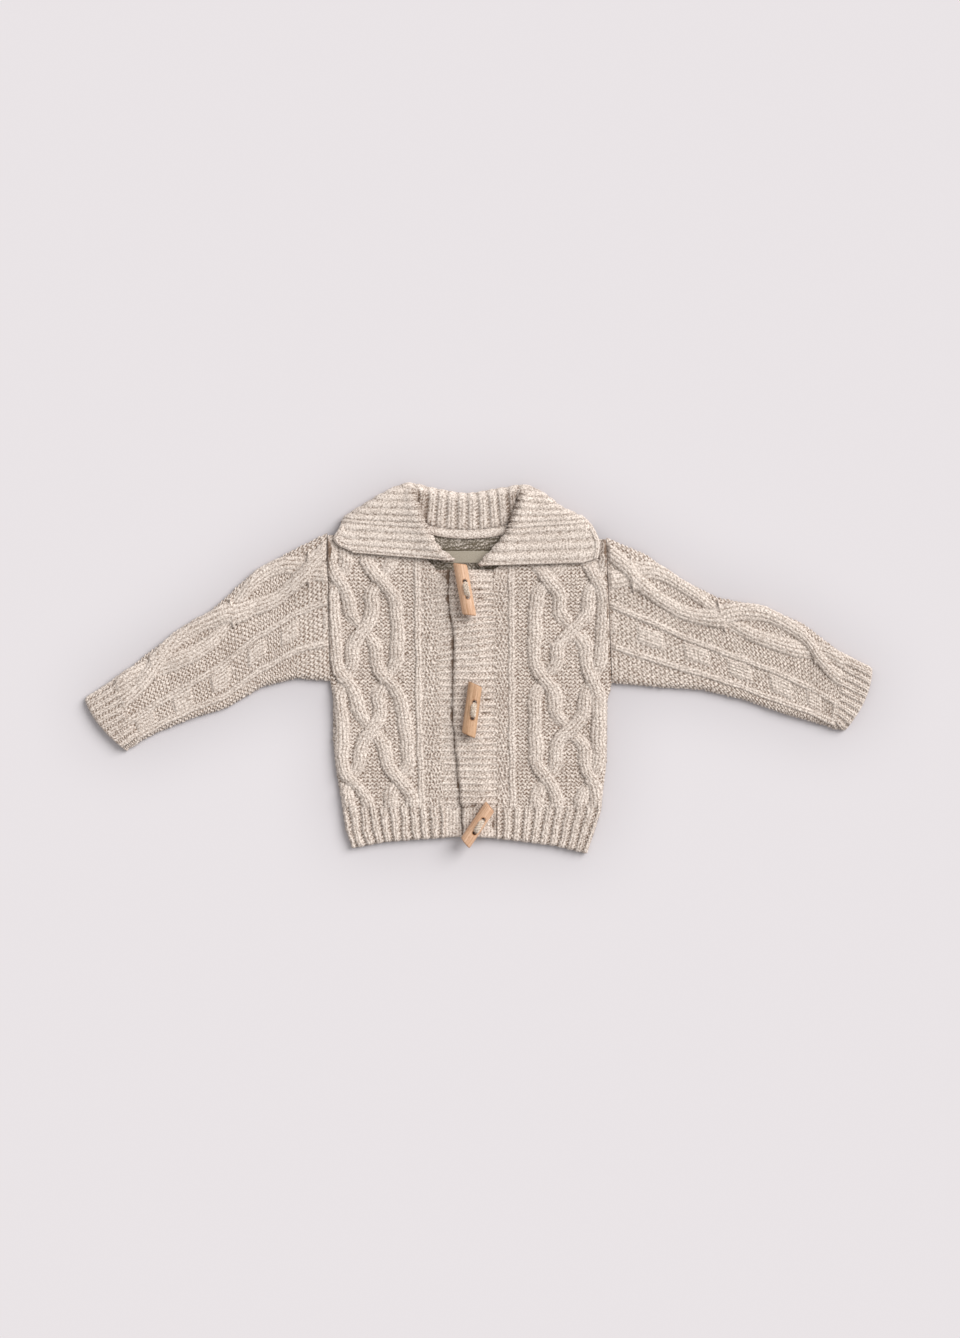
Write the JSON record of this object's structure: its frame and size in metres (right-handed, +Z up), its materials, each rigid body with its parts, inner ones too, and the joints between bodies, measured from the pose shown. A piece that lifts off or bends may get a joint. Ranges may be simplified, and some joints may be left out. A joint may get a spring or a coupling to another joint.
{
  "type": "baby cardigan",
  "caption": "Baby's cable-knit cardigan in oatmeal marl yarn, laid flat, with a wide ribbed collar, ribbed bands, hem and cuffs, and wooden toggles.",
  "frame": {"origin": "under the middle of the whole garment's box, on the surface that it lies on", "axes": "+X across the chest to the right as seen from above, +Y up towards the collar, +Z up from the surface"},
  "size_m": [0.7494, 0.3508, 0.0298],
  "materials": {
    "yarn_knit": "soft matt oatmeal marl, cable and purl knit",
    "yarn_rib": "soft matt oatmeal marl, rib knit",
    "toggle_wood": "pale wood, smooth and lightly waxed",
    "toggle_tie": "plied ecru yarn",
    "binding_tape": "narrow knitted binding",
    "label_tape": "plain woven tape, no text"
  },
  "bodies": {
    "root": {"back": "yarn_knit", "front_left": "yarn_knit", "front_right": "yarn_knit", "band_left": "yarn_rib", "band_right": "yarn_rib", "sleeve_left": "yarn_knit", "sleeve_right": "yarn_knit", "collar": "yarn_rib", "neck_binding": "binding_tape", "neck_label": "label_tape", "toggle_1": "toggle_wood", "toggle_yarn_1": "toggle_tie", "toggle_2": "toggle_wood", "toggle_yarn_2": "toggle_tie", "toggle_3": "toggle_wood", "toggle_yarn_3": "toggle_tie"}
  },
  "joints": []
}
